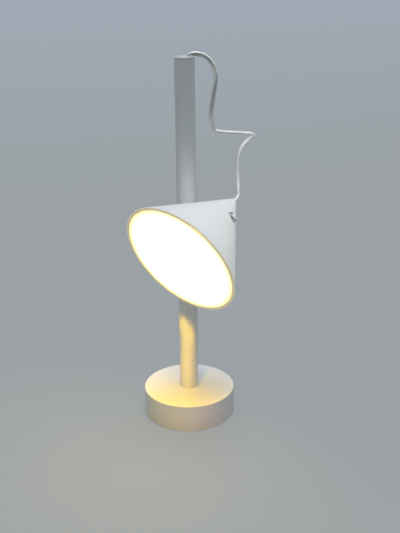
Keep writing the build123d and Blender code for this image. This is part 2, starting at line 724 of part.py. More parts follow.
# Terminal on the heat sink and the flex that runs to it from the tip
with BuildPart() as head_terminal:
    with BuildSketch(head_level(terminal_back)):
        Rectangle(HEAD_TERMINAL_LENGTH, HEAD_TERMINAL_WIDTH)
    extrude(amount=HEAD_TERMINAL_HEIGHT)

with BuildPart() as head_flex:
    with BuildSketch(head_level(TIP_START)):
        SlotOverall(FLEX_WIDTH, FLEX_THICKNESS)
    extrude(amount=terminal_back - TIP_START)

# Light source board, its light sources and its screws
with BuildPart() as led_board:
    with BuildSketch(head_level(sink_front)):
        Circle(LED_BOARD_DIAMETER / 2)
        with PolarLocations(LED_SCREW_CIRCLE / 2, LED_SCREW_COUNT):
            Circle(LED_SCREW_DIAMETER / 2 + SEAT_GAP, mode=Mode.SUBTRACT)
    extrude(amount=LED_BOARD_THICKNESS)

with BuildPart() as leds:
    with BuildSketch(head_level(led_level)):
        with PolarLocations(LED_INNER_DIAMETER / 2, LED_INNER_COUNT):
            Rectangle(LED_LENGTH, LED_WIDTH)
        with PolarLocations(LED_OUTER_DIAMETER / 2, LED_OUTER_COUNT):
            Rectangle(LED_LENGTH, LED_WIDTH)
    extrude(amount=LED_HEIGHT)

with BuildPart() as led_screws:
    with BuildSketch(head_level(led_level)):
        with PolarLocations(LED_SCREW_CIRCLE / 2, LED_SCREW_COUNT):
            Circle(LED_SCREW_HEAD_DIAMETER / 2)
    extrude(amount=LED_SCREW_HEAD_HEIGHT)
    with BuildSketch(head_level(led_level)):
        with PolarLocations(LED_SCREW_CIRCLE / 2, LED_SCREW_COUNT):
            Circle(LED_SCREW_DIAMETER / 2)
    extrude(amount=-LED_SCREW_LENGTH)

# Reflector lining between the light sources and the diffuser
reflector_back = led_level + REFLECTOR_LIFT
with BuildPart() as reflector:
    with BuildSketch(head_section):
        Polygon(
            (inside(reflector_back) - SEAT_GAP - REFLECTOR_WALL, reflector_back),
            (inside(reflector_back) - SEAT_GAP, reflector_back),
            (inside(flange_back) - SEAT_GAP, flange_back),
            (inside(flange_back) - SEAT_GAP - REFLECTOR_WALL, flange_back),
            align=None,
        )
    revolve(axis=head_axis)

# Opal diffuser: a shallow dished cover whose flange the end ring holds
ring_outer = outside(mouth)
ring_inner = ring_outer - RING_WIDTH
cover_radius = ring_inner - SEAT_GAP
cover_bore = cover_radius - DIFFUSER_THICKNESS
with BuildPart() as diffuser:
    with BuildSketch(head_section) as diffuser_profile:
        with BuildLine():
            TangentArc((0, diffuser_top), (cover_radius, diffuser_edge), tangent=(1, 0))
            Polyline(
                (cover_radius, diffuser_edge),
                (cover_radius, mouth),
                (inside(mouth) - SEAT_GAP, mouth),
                (inside(flange_back) - SEAT_GAP, flange_back),
                (cover_bore, flange_back),
                (cover_bore, diffuser_edge - DIFFUSER_THICKNESS),
            )
            TangentArc(
                (0, diffuser_top - DIFFUSER_THICKNESS),
                (cover_bore, diffuser_edge - DIFFUSER_THICKNESS),
                tangent=(1, 0),
            )
            Line((0, diffuser_top - DIFFUSER_THICKNESS), (0, diffuser_top))
        make_face()
        fillet(diffuser_profile.vertices().sort_by_distance((cover_radius, diffuser_edge))[0], radius=DIFFUSER_ROUND)
    revolve(axis=head_axis)

# End ring on the cut edge of the shade
with BuildPart() as diffuser_ring:
    with BuildSketch(head_section) as ring_profile:
        Polygon((ring_inner, mouth), (ring_outer, mouth), (ring_outer, ring_front), (ring_inner, ring_front), align=None)
        fillet(ring_profile.vertices().group_by(Axis.Y)[-1], radius=RING_ROUND)
    revolve(axis=head_axis)

# Push switch: a cup through the shade's wall, a bezel outside, a nut inside, and the button
with BuildPart() as switch_body:
    with BuildSketch(switch_plane.offset(SWITCH_RIM)):
        Circle(switch_neck)
    extrude(amount=-SWITCH_RIM - SWITCH_DEPTH)
    with BuildSketch(switch_plane.offset(SWITCH_RIM)):
        Circle(button_radius + RUN_GAP)
    extrude(amount=SWITCH_FLOOR - SWITCH_RIM - SWITCH_DEPTH, mode=Mode.SUBTRACT)

with BuildPart() as switch_bezel:
    with BuildSketch(switch_plane.offset(BEZEL_HEIGHT)):
        Circle(BEZEL_DIAMETER / 2)
    extrude(amount=-BEZEL_HEIGHT - OVERRUN)
    fillet(switch_bezel.faces().sort_by(Axis(switch_place, switch_out))[-1].edges(), radius=BEZEL_ROUND)
    with BuildSketch(switch_plane.offset(BEZEL_HEIGHT)):
        Circle(switch_neck + RUN_GAP)
    extrude(amount=-BEZEL_HEIGHT - OVERRUN, mode=Mode.SUBTRACT)
    add(cone_outside.part, mode=Mode.SUBTRACT)

with BuildPart() as switch_nut:
    with BuildSketch(switch_plane.offset(-switch_nut_seat)):
        RegularPolygon(SWITCH_NUT_WIDTH / 2, 6, major_radius=False)
        Circle(switch_neck + RUN_GAP, mode=Mode.SUBTRACT)
    extrude(amount=-SWITCH_NUT_HEIGHT)

with BuildPart() as switch_button:
    with BuildSketch(switch_plane.offset(BEZEL_HEIGHT + BUTTON_PROUD)):
        Circle(button_radius)
    extrude(amount=-BUTTON_LENGTH)
    fillet(switch_button.faces().sort_by(Axis(switch_place, switch_out))[-1].edges(), radius=BUTTON_ROUND)

pieces = {
    "foot_pad": foot_pad,
    "base_plate": base_plate,
    "plate_screws": plate_screws,
    "base_shell": base_shell,
    "base_weight": base_weight,
    "lead_gland": lead_gland,
    "driver_board": driver_board,
    "board_spacers": board_spacers,
    "driver_transformer": driver_transformer,
    "driver_capacitors": driver_capacitors,
    "driver_terminal": driver_terminal,
    "post_tube": post_tube,
    "post_foot": post_foot,
    "post_stud": post_stud,
    "post_washer": post_washer,
    "post_nut": post_nut,
    "post_cap": post_cap,
    "cap_grommet": cap_grommet,
    "inner_flex": inner_flex,
    "cap_flex": cap_flex,
    "flex_cord": flex_cord,
    "slider_bush": slider_bush,
    "bush_clip": bush_clip,
    "collar": collar,
    "pivot_stud": pivot_stud,
    "pivot_nut": pivot_nut,
    "pivot_pad": pivot_pad,
    "pivot_backing": pivot_backing,
    "pivot_washer": pivot_washer,
    "shade_cone": shade_cone,
    "tip_gland": tip_gland,
    "tip_nut": tip_nut,
    "heat_sink": heat_sink,
    "head_terminal": head_terminal,
    "head_flex": head_flex,
    "led_board": led_board,
    "leds": leds,
    "led_screws": led_screws,
    "reflector": reflector,
    "diffuser": diffuser,
    "diffuser_ring": diffuser_ring,
    "switch_body": switch_body,
    "switch_bezel": switch_bezel,
    "switch_nut": switch_nut,
    "switch_button": switch_button,
}
os.makedirs("parts", exist_ok=True)
for name, piece in pieces.items():
    piece.part.label = name
    export_step(piece.part, f"parts/{name}.step")

flex_length = flex_line.wires()[0].length
flex_fill = flex_cord.part.volume / (pi * (FLEX_ROUND_DIAMETER / 2) ** 2 * flex_length)
print("flex radii", [round(radius, 1) for radius in flex_radii])
print("flex length", round(flex_length, 1))
print("flex volume over section times length", round(flex_fill, 4))
print("pivot", pivot, "point of the cone", cone_point, "head axis", head_dir)
print("switch place", switch_place, "out", switch_out)
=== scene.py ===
from math import atan2, cos, pi, radians, sin

import bpy
from mathutils import Matrix, Vector


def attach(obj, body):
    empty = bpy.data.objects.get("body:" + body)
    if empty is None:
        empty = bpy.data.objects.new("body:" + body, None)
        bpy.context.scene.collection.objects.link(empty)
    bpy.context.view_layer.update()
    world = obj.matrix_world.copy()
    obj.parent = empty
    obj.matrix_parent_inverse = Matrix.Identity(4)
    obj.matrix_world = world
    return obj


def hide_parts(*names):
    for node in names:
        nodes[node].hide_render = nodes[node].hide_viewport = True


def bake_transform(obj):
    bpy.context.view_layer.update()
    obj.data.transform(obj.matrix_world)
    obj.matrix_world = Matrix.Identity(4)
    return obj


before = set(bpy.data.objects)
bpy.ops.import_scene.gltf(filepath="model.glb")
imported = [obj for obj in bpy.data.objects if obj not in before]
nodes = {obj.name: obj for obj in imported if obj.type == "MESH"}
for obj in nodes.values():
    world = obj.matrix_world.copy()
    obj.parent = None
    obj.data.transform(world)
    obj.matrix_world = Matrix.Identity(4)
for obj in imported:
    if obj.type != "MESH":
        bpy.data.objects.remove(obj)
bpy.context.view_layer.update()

# Table lamp: the solids carry the shapes, and this script adds the flat flex, the materials, the light
# and the camera. Lengths are in metres, in the frame of the solids, and powers are in watts.

scene = bpy.context.scene
scene.view_settings.view_transform = "Standard"

# Camera
CAMERA_PLACE = (-0.21232, -0.97378, 0.58382)
CAMERA_HEADING = radians(13.245)  # from +Y towards +X
CAMERA_PITCH = radians(20.43)  # below level
CAMERA_ROLL = radians(-0.559)
CAMERA_LENS = 54.62  # in millimetres, as the sensor
CAMERA_SENSOR = 36.0
CAMERA_NEAREST = 0.01
CAMERA_FARTHEST = 50.0

# Flat two-core flex
FLEX_WIDTH = 0.0055
FLEX_THICKNESS = 0.0024
FLEX_GROOVE_SHARE = 0.3  # of the half thickness, at the middle of each flat side
FLEX_STEPS = 14  # points of the line between two places of its route
LOBE_STEPS = 10
WEB_STEPS = 8

# The route of the flex from the cap to the tip of the head. It is cut in two at the loop.
LOOP_PLACE = (0.0910, 0.0062, 0.38105)
UPPER_ROUTE = [
    (0.00527, -0.00124, 0.48341),
    (0.00692, -0.00162, 0.48511),
    (0.0130, -0.0034, 0.4846),
    (0.0200, -0.0063, 0.4838),
    (0.0276, -0.0106, 0.4794),
    (0.0332, -0.0157, 0.4705),
    (0.0342, -0.0194, 0.4562),
    (0.0315, -0.0198, 0.4392),
    (0.0291, -0.0176, 0.4223),
    (0.0286, -0.0150, 0.4080),
    (0.0331, -0.0128, 0.3935),
    (0.0468, -0.0102, 0.3900),
    (0.0613, -0.0067, 0.3882),
    (0.0762, -0.0033, 0.3860),
    (0.0880, 0.0014, 0.3836),
    LOOP_PLACE,
]
LOWER_ROUTE = [
    LOOP_PLACE,
    (0.0940, 0.0110, 0.3785),
    (0.0889, 0.0182, 0.3744),
    (0.0788, 0.0152, 0.3678),
    (0.0714, 0.0092, 0.3578),
    (0.0681, 0.0032, 0.3458),
    (0.0671, -0.0019, 0.3332),
    (0.0668, -0.0066, 0.3213),
    (0.0657, -0.0108, 0.3128),
    (0.064250, -0.014192, 0.307546),
    (0.057739, -0.019080, 0.303711),
]

# How the flex lies: at each of these places one of its flat sides faces the given way.
LOOP_FACING = (0.80, -0.12, 0.59)
UPPER_FACINGS = [
    ((0.0053, -0.0012, 0.4834), (-0.69, 0.16, 0.71)),
    ((0.0176, -0.0054, 0.4841), (-0.25, -0.92, -0.05)),
    ((0.0236, -0.0085, 0.4818), (-0.30, -0.88, -0.18)),
    ((0.0300, -0.0132, 0.4750), (-0.35, -0.82, -0.45)),
    ((0.0337, -0.0175, 0.4630), (-0.30, -0.90, -0.30)),
    ((0.0330, -0.0196, 0.4477), (0.40, -0.90, -0.15)),
    ((0.0289, -0.0163, 0.4150), (-0.20, -0.96, -0.17)),
    ((0.0309, -0.0139, 0.4010), (0.10, -0.98, -0.12)),
    ((0.0400, -0.0115, 0.3927), (0.12, -0.35, 0.93)),
    ((0.0690, -0.0050, 0.3881), (0.10, -0.32, 0.94)),
    (LOOP_PLACE, LOOP_FACING),
]
LOWER_FACINGS = [
    (LOOP_PLACE, LOOP_FACING),
    ((0.0936, 0.0149, 0.3769), (-0.57, -0.02, 0.82)),
    ((0.0843, 0.0167, 0.3714), (-0.43, -0.15, 0.88)),
    ((0.0744, 0.0122, 0.3630), (-0.66, 0.02, 0.75)),
    ((0.0690, 0.0062, 0.3518), (-0.93, 0.31, 0.07)),
    ((0.0675, 0.0006, 0.3395), (0.88, -0.46, 0.08)),
    ((0.0668, -0.0066, 0.3213), (0.66, -0.72, 0.22)),
    ((0.057739, -0.019080, 0.303711), (0.51, 0.0, -0.86)),
]

# Head: the point of its cone, and the way that it faces
CONE_POINT = Vector((0.0611757, -0.0165, 0.305735))
HEAD_DIR = Vector((-0.723441, -0.543174, -0.426139))

# Noise in the materials, with its scale in waves a metre
NOISE_LOW = 0.3  # most of a noise's values lie between these two
NOISE_HIGH = 0.7
DRIFT_DETAIL = 3.0
GRAIN_DETAIL = 2.0
COAT_ROUGH_SPREAD = (-0.04, 0.05)  # round a coat's roughness
COAT_BUMP = 0.25
METAL_ROUGH_SPREAD = (-0.06, 0.1)
METAL_BUMP = 0.15
METAL_GRAIN_DEPTH = 0.00002
METAL_DRIFT = 60.0

# Paint, plastic and rubber: light tone, dark tone, roughness, scale and depth of the grain, and scale of
# the drift in tone
COATS = {
    "white_paint": ((0.855, 0.87, 0.89), (0.825, 0.84, 0.86), 0.46, 1400.0, 0.00003, 14.0),
    "base_paint": ((0.835, 0.85, 0.86), (0.80, 0.815, 0.825), 0.42, 1400.0, 0.00003, 14.0),
    "post_paint": ((0.845, 0.865, 0.855), (0.81, 0.83, 0.82), 0.42, 1400.0, 0.00003, 14.0),
    # The cap's mid grey, darker than the white post, is painted shade on the cap's top
    "cap_shaded_paint": ((0.55, 0.565, 0.575), (0.52, 0.535, 0.545), 0.46, 1400.0, 0.00003, 14.0),
    "white_plastic": ((0.84, 0.845, 0.85), (0.80, 0.81, 0.82), 0.38, 2200.0, 0.00001, 14.0),
    # The flex is white; its grey tone here is painted shade, and lights that reach only the flex bring its
    # lit parts back up
    "flex_shaded_white": ((0.64, 0.64, 0.63), (0.60, 0.60, 0.595), 0.30, 1800.0, 0.00001, 90.0),
    "pale_rubber": ((0.72, 0.73, 0.73), (0.66, 0.67, 0.675), 0.62, 1600.0, 0.00003, 14.0),
    "dark_rubber": ((0.035, 0.035, 0.036), (0.022, 0.022, 0.023), 0.75, 1100.0, 0.00006, 14.0),
    "nylon": ((0.70, 0.70, 0.67), (0.64, 0.64, 0.61), 0.48, 1500.0, 0.00002, 14.0),
    "black_plastic": ((0.03, 0.03, 0.032), (0.018, 0.018, 0.02), 0.45, 1500.0, 0.00002, 14.0),
    "circuit": ((0.02, 0.16, 0.06), (0.012, 0.11, 0.04), 0.35, 800.0, 0.00002, 14.0),
    "board_white": ((0.78, 0.78, 0.75), (0.72, 0.72, 0.69), 0.4, 900.0, 0.00001, 14.0),
    "reflector_white": ((0.86, 0.86, 0.84), (0.82, 0.82, 0.80), 0.5, 1200.0, 0.00001, 14.0),
    "emitter": ((0.85, 0.72, 0.22), (0.78, 0.62, 0.15), 0.35, 3000.0, 0.00001, 14.0),
}

# Bare metal: light tone, dark tone, roughness, scale of the grain, and the share of that scale along each
# axis, which is small where the grain is drawn out
METALS = {
    "steel": ((0.56, 0.565, 0.57), (0.48, 0.485, 0.49), 0.3, 900.0, (1.0, 1.0, 0.08)),
    "iron": ((0.16, 0.16, 0.165), (0.11, 0.11, 0.112), 0.55, 300.0, (1.0, 1.0, 1.0)),
    "aluminium": ((0.72, 0.73, 0.74), (0.64, 0.65, 0.66), 0.36, 900.0, (1.0, 1.0, 0.1)),
    "nickel": ((0.60, 0.58, 0.55), (0.50, 0.485, 0.46), 0.24, 1500.0, (1.0, 0.2, 1.0)),
}

# Lit opal cover of the head
COVER_RADIUS = 0.0755
COVER_LIGHT_TONE = (0.84, 0.82, 0.77)
COVER_DARK_TONE = (0.78, 0.76, 0.70)
COVER_ROUGH = (0.3, 0.4)
COVER_GRAIN = 500.0
GLOW_STRENGTH = 4.0
GLOW_SHIFT = Vector((0.00038, -0.00148, 0.00128))  # of the cover's brightest part, across the head's axis
GLOW_TONES = [  # share of the way to the cover's edge, and the colour there
    (0.0, (1.0, 0.90, 0.72)),
    (0.80, (0.95, 0.84, 0.62)),
    (0.874, (0.36, 0.32, 0.24)),
    (0.907, (0.30, 0.28, 0.175)),
    (0.941, (0.26, 0.235, 0.11)),
    (0.974, (0.23, 0.19, 0.04)),
    (1.0, (0.20, 0.16, 0.03)),
]

# White painted ring round the cover, drawn grey as painted shade, with a warm glow that is painted lamplight
# from the cover
RING_SHADED_LIGHT_TONE = (0.48, 0.48, 0.47)
RING_SHADED_DARK_TONE = (0.43, 0.43, 0.42)
RING_PAINTED_LAMPLIGHT = (1.0, 0.86, 0.54)
RING_PAINTED_LAMPLIGHT_DIM = (0.95, 0.80, 0.48)
RING_PAINTED_LAMPLIGHT_STRENGTH = 0.29
RING_ROUGH = (0.42, 0.52)
RING_DRIFT = 30.0

# The nodes that each material is on
LOOKS = {
    "white_paint": ["shade_cone", "collar"],
    "base_paint": ["base_shell"],
    "post_paint": ["post_tube"],
    "cap_shaded_paint": ["post_cap"],
    "white_plastic": ["tip_gland", "switch_button"],
    "flex_shaded_white": ["flex_cord", "inner_flex", "cap_flex", "head_flex"],
    "pale_rubber": ["lead_gland", "cap_grommet"],
    "dark_rubber": ["foot_pad"],
    "nylon": ["slider_bush", "bush_clip", "pivot_pad", "board_spacers"],
    "black_plastic": ["driver_transformer", "driver_capacitors", "driver_terminal", "head_terminal"],
    "circuit": ["driver_board"],
    "board_white": ["led_board"],
    "reflector_white": ["reflector"],
    "emitter": ["leds"],
    "steel": [
        "base_plate", "plate_screws", "post_foot", "post_stud", "post_washer", "post_nut", "pivot_stud",
        "pivot_nut", "pivot_backing", "pivot_washer", "tip_nut", "led_screws", "switch_nut",
    ],
    "iron": ["base_weight"],
    "aluminium": ["heat_sink"],
    "nickel": ["switch_bezel", "switch_body"],
    "opal": ["diffuser"],
    "ring_painted_light_and_shade": ["diffuser_ring"],
}

# Floor that bends up into a backdrop
SWEEP_HALF = 4.0  # of its width
SWEEP_FRONT = -3.0
SWEEP_BEND_START = 0.9
SWEEP_BEND = 0.8  # radius
SWEEP_TOP = 3.0
SWEEP_STEPS = 24
FLOOR_MATTE = (0.325, 0.37, 0.415)
FLOOR_TONE = (0.345, 0.372, 0.382)
BACKDROP_TONE = (0.375, 0.434, 0.494)
BACKDROP_RISE = 0.45  # height over which the floor's tone turns into the backdrop's
EVEN_SHARE = 0.85  # of the even tone in the floor as seen, and the rest takes light and shadow

# Soft square lights: place, the place that it looks at, width, power and colour
SOFT_LIGHTS = {
    "key": ((0.10, -0.30, 4.0), (0.05, -0.05, 0.0), 1.2, 96.0, (0.95, 0.98, 1.0)),
    "table_bounce": ((-0.015, -0.145, 0.004), (0.005, -0.055, 0.018), 0.12, 0.022, (0.80, 0.55, 0.95)),
}

# A narrow light from the right, which reaches only the head and the lower flex
SPOT_PLACE = Vector((0.82, -0.26, 0.225))
SPOT_TARGET = Vector((0.05, -0.035, 0.265))
SPOT_POWER = 8.0
SPOT_COLOUR = (1.0, 0.96, 0.78)
SPOT_ANGLE = radians(26)
SPOT_BLEND = 0.4
SPOT_RADIUS = 0.08
SPOT_REACH = ["shade_cone", "tip_gland", "switch_bezel", "switch_button", "diffuser_ring", "flex_lower"]

# Small lights that reach only the post or the flex: place, power, radius, colour, the pieces that it reaches,
# and the body that it moves with
BOTH_FLEXES = ["flex_upper", "flex_lower"]
FILL_LIGHTS = {
    "post_fill": ((0.002, -0.048, 0.320), 0.0105, 0.02, (1.0, 0.97, 0.88), ["post_tube"], "collar"),
    "loop_fill": ((0.118, -0.028, 0.374), 0.022, 0.01, (0.96, 0.98, 1.0), BOTH_FLEXES, "collar"),
    "flex_rim": ((0.03, 0.10, 1.20), 12.0, 0.05, (0.98, 0.99, 1.0), BOTH_FLEXES, "cap"),
    "arch_fill": ((0.018, -0.012, 0.560), 0.11, 0.02, (0.98, 0.99, 1.0), ["flex_upper"], "cap"),
    "run_fill": ((0.020, -0.036, 0.392), 0.006, 0.008, (1.0, 0.96, 0.88), ["flex_upper"], "collar"),
    "flex_fill": ((0.055, -0.055, 0.314), 0.044, 0.012, (0.96, 0.98, 1.0), ["flex_lower"], "head"),
}

# The lamp's own light, just in front of the lit cover. Each level is along the head's axis, from the point
# of the cone.
LAMP_COLOUR = (1.0, 0.61, 0.02)
LAMP_LIGHT_LEVEL = 0.1355
LAMP_LIGHT_POWER = 0.68
LAMP_LIGHT_RADIUS = 0.007
POST_LIGHT_LEVEL = 0.1300
POST_LIGHT_REACH = 0.045  # from the head's axis, towards the post
POST_LIGHT_TARGET = Vector((0.0, 0.0, 0.13))
POST_LIGHT_POWER = 0.06
POST_LIGHT_COLOUR = (1.0, 0.50, 0.02)
POST_LIGHT_RADIUS = 0.003
COVER_LIGHT_LEVEL = 0.1286
COVER_LIGHT_WIDTH = 0.14
COVER_LIGHT_POWER = 1.10

# Even light all round, weaker from the front
SKY_COLOUR = (0.88, 0.95, 1.0)
SKY_FRONT = 0.10
SKY_BACK = 0.50


def place_camera():
    """The camera at the photograph's place, turned by its heading, pitch and roll."""
    forward = Vector((
        sin(CAMERA_HEADING) * cos(CAMERA_PITCH),
        cos(CAMERA_HEADING) * cos(CAMERA_PITCH),
        -sin(CAMERA_PITCH),
    ))
    level = Vector((cos(CAMERA_HEADING), -sin(CAMERA_HEADING), 0))
    upright = level.cross(forward)
    right = level * cos(CAMERA_ROLL) + upright * sin(CAMERA_ROLL)
    up = upright * cos(CAMERA_ROLL) - level * sin(CAMERA_ROLL)
    turn = Matrix((right, up, -forward)).transposed().to_4x4()
    data = bpy.data.cameras.new("camera")
    data.lens = CAMERA_LENS
    data.sensor_width = CAMERA_SENSOR
    data.sensor_fit = "AUTO"
    data.clip_start = CAMERA_NEAREST
    data.clip_end = CAMERA_FARTHEST
    camera = bpy.data.objects.new("camera", data)
    camera.matrix_world = Matrix.Translation(CAMERA_PLACE) @ turn
    scene.collection.objects.link(camera)
    scene.camera = camera


def spline_line(route):
    """The points of a smooth line that has the route's places as its control points."""
    data = bpy.data.curves.new("route", "CURVE")
    data.dimensions = "3D"
    data.resolution_u = FLEX_STEPS
    spline = data.splines.new("NURBS")
    spline.points.add(len(route) - 1)
    for point, place in zip(spline.points, route):
        point.co = (*place, 1.0)
    spline.order_u = 3
    spline.use_endpoint_u = True
    holder = bpy.data.objects.new("route", data)
    mesh = bpy.data.meshes.new_from_object(holder)
    line = [vertex.co.copy() for vertex in mesh.vertices]
    bpy.data.meshes.remove(mesh)
    bpy.data.objects.remove(holder)
    bpy.data.curves.remove(data)
    return line


def line_tangents(line):
    """The direction of the line at each of its points."""
    last = len(line) - 1
    return [(line[min(i + 1, last)] - line[max(i - 1, 0)]).normalized() for i in range(len(line))]


def flat_ways(line, tangents, facings):
    """The direction of the flex's width at each point of the line, turned smoothly between the facings."""
    side = Vector(facings[0][1]).cross(tangents[0]).normalized()
    sides = [side]
    for tangent in tangents[1:]:
        side = (side - tangent * side.dot(tangent)).normalized()
        sides.append(side)
    marks = []
    for place, facing in facings:
        i = min(range(len(line)), key=lambda n: (line[n] - Vector(place)).length)
        way = Vector(facing).cross(tangents[i])
        angle = atan2(way.dot(tangents[i].cross(sides[i])), way.dot(sides[i]))
        if marks:
            angle += pi * round((marks[-1][1] - angle) / pi)
        marks.append((i, angle))
    marks[0] = (0, marks[0][1])
    marks[-1] = (len(line) - 1, marks[-1][1])
    ways = []
    for i, (side, tangent) in enumerate(zip(sides, tangents)):
        before = [mark for mark in marks if mark[0] <= i][-1]
        after = [mark for mark in marks if mark[0] >= i][0]
        part = (i - before[0]) / max(after[0] - before[0], 1)
        part = part * part * (3 - 2 * part)
        angle = before[1] + (after[1] - before[1]) * part
        ways.append(side * cos(angle) + tangent.cross(side) * sin(angle))
    return ways


def flat_section():
    """The outline of the flex, two lobes and a shallow groove, as places along its width and thickness."""
    half = FLEX_THICKNESS / 2
    lobe = FLEX_WIDTH / 2 - half
    outline = []
    for n in range(LOBE_STEPS + 1):
        angle = -pi / 2 + pi * n / LOBE_STEPS
        outline.append((lobe + half * cos(angle), half * sin(angle)))
    for n in range(1, WEB_STEPS):
        across = lobe * (1 - 2 * n / WEB_STEPS)
        outline.append((across, half * (1 - FLEX_GROOVE_SHARE * cos(pi * across / (2 * lobe)) ** 2)))
    return outline + [(-across, -up) for across, up in outline]


def flat_flex(name, route, facings):
    """A flat flex along a route. Returns its object and the line that it follows."""
    line = spline_line(route)
    tangents = line_tangents(line)
    ways = flat_ways(line, tangents, facings)
    section = flat_section()
    count = len(section)
    places = []
    for place, tangent, way in zip(line, tangents, ways):
        flat = way.cross(tangent)
        places += [place + way * across + flat * up for across, up in section]
    faces = []
    for ring in range(len(line) - 1):
        start = ring * count
        for n in range(count):
            after = (n + 1) % count
            faces.append((start + n, start + after, start + count + after, start + count + n))
    last = (len(line) - 1) * count
    faces.append(tuple(range(count)))
    faces.append(tuple(last + n for n in reversed(range(count))))
    mesh = bpy.data.meshes.new(name)
    mesh.from_pydata(places, [], faces)
    mesh.polygons.foreach_set("use_smooth", [True] * len(mesh.polygons))
    for edge in mesh.edges:
        low, high = sorted(edge.vertices)
        edge.use_edge_sharp = high < count or low >= last
    mesh.validate()
    mesh.update()
    piece = bpy.data.objects.new(name, mesh)
    scene.collection.objects.link(piece)
    return piece, line


def new_material(name):
    """A material with its node tree and its surface shader."""
    material = bpy.data.materials.new(name)
    material.use_nodes = True
    tree = material.node_tree
    return material, tree, tree.nodes["Principled BSDF"]


def object_noise(tree, scale, detail, stretch=(1.0, 1.0, 1.0)):
    """Noise fixed to the piece."""
    place = tree.nodes.new("ShaderNodeTexCoord")
    mapping = tree.nodes.new("ShaderNodeMapping")
    mapping.inputs["Scale"].default_value = stretch
    noise = tree.nodes.new("ShaderNodeTexNoise")
    noise.inputs["Scale"].default_value = scale
    noise.inputs["Detail"].default_value = detail
    tree.links.new(place.outputs["Object"], mapping.inputs["Vector"])
    tree.links.new(mapping.outputs["Vector"], noise.inputs["Vector"])
    return noise.outputs["Fac"]


def map_range(tree, source, start, end, low, high):
    """A value between two, by how far another one is on its way from start to end."""
    node = tree.nodes.new("ShaderNodeMapRange")
    node.inputs["From Min"].default_value = start
    node.inputs["From Max"].default_value = end
    node.inputs["To Min"].default_value = low
    node.inputs["To Max"].default_value = high
    tree.links.new(source, node.inputs["Value"])
    return node.outputs["Result"]


def colour_ramp(tree, source, stops, interpolation="LINEAR"):
    """A colour that follows a value, by places in rising order and the colours there."""
    node = tree.nodes.new("ShaderNodeValToRGB")
    node.color_ramp.interpolation = interpolation
    elements = node.color_ramp.elements
    elements[0].position = stops[0][0]
    elements[1].position = stops[-1][0]
    for position, colour in stops[1:-1]:
        elements.new(position)
    for element, (position, colour) in zip(elements, stops):
        element.color = (*colour, 1.0)
    tree.links.new(source, node.inputs["Fac"])
    return node.outputs["Color"]


def value_math(tree, operation, first, second):
    """The result of an operation on two values. The second is an output or a number."""
    node = tree.nodes.new("ShaderNodeMath")
    node.operation = operation
    tree.links.new(first, node.inputs[0])
    if isinstance(second, float):
        node.inputs[1].default_value = second
    else:
        tree.links.new(second, node.inputs[1])
    return node.outputs["Value"]


def vector_math(tree, operation, source, other=(0.0, 0.0, 0.0)):
    """The node of an operation on a vector and another, fixed one."""
    node = tree.nodes.new("ShaderNodeVectorMath")
    node.operation = operation
    node.inputs[1].default_value = other
    tree.links.new(source, node.inputs[0])
    return node


def spread(tree, noise, low, high):
    """The middle of a noise, spread over a range of values."""
    return map_range(tree, noise, NOISE_LOW, NOISE_HIGH, low, high)


def mixed(tree, noise, dark, light):
    """A colour between two, by a noise."""
    return colour_ramp(tree, noise, [(NOISE_LOW, dark), (NOISE_HIGH, light)])


def bumped(tree, shader, noise, strength, depth):
    """Raises a noise on the surface."""
    bump = tree.nodes.new("ShaderNodeBump")
    bump.inputs["Strength"].default_value = strength
    bump.inputs["Distance"].default_value = depth
    tree.links.new(noise, bump.inputs["Height"])
    tree.links.new(bump.outputs["Normal"], shader.inputs["Normal"])


def coated(name, light, dark, rough, grain, grain_depth, drift):
    """Paint, plastic or rubber: a slow drift of tone, a roughness that follows it, and a fine grain."""
    material, tree, shader = new_material(name)
    slow = object_noise(tree, drift, DRIFT_DETAIL)
    fine = object_noise(tree, grain, GRAIN_DETAIL)
    least, most = (rough + share for share in COAT_ROUGH_SPREAD)
    tree.links.new(mixed(tree, slow, dark, light), shader.inputs["Base Color"])
    tree.links.new(spread(tree, slow, least, most), shader.inputs["Roughness"])
    bumped(tree, shader, fine, COAT_BUMP, grain_depth)
    return material


def metal(name, light, dark, rough, grain, stretch):
    """Bare metal with a drawn or turned grain."""
    material, tree, shader = new_material(name)
    streak = object_noise(tree, grain, DRIFT_DETAIL, stretch)
    slow = object_noise(tree, METAL_DRIFT, GRAIN_DETAIL)
    least, most = (rough + share for share in METAL_ROUGH_SPREAD)
    tree.links.new(mixed(tree, slow, dark, light), shader.inputs["Base Color"])
    tree.links.new(spread(tree, streak, least, most), shader.inputs["Roughness"])
    bumped(tree, shader, streak, METAL_BUMP, METAL_GRAIN_DEPTH)
    shader.inputs["Metallic"].default_value = 1.0
    return material


def opal(name):
    """Lit opal cover: near white over most of its face, and yellow and dimmer towards its edge."""
    material, tree, shader = new_material(name)
    place = tree.nodes.new("ShaderNodeTexCoord").outputs["Object"]
    offset = vector_math(tree, "SUBTRACT", place, CONE_POINT + GLOW_SHIFT).outputs["Vector"]
    across = vector_math(tree, "CROSS_PRODUCT", offset, HEAD_DIR).outputs["Vector"]
    reach = vector_math(tree, "LENGTH", across).outputs["Value"]
    share = value_math(tree, "DIVIDE", reach, COVER_RADIUS + GLOW_SHIFT.length)
    tree.links.new(colour_ramp(tree, share, GLOW_TONES, "EASE"), shader.inputs["Emission Color"])
    shader.inputs["Emission Strength"].default_value = GLOW_STRENGTH
    fine = object_noise(tree, COVER_GRAIN, GRAIN_DETAIL)
    tree.links.new(mixed(tree, fine, COVER_DARK_TONE, COVER_LIGHT_TONE), shader.inputs["Base Color"])
    tree.links.new(spread(tree, fine, *COVER_ROUGH), shader.inputs["Roughness"])
    return material


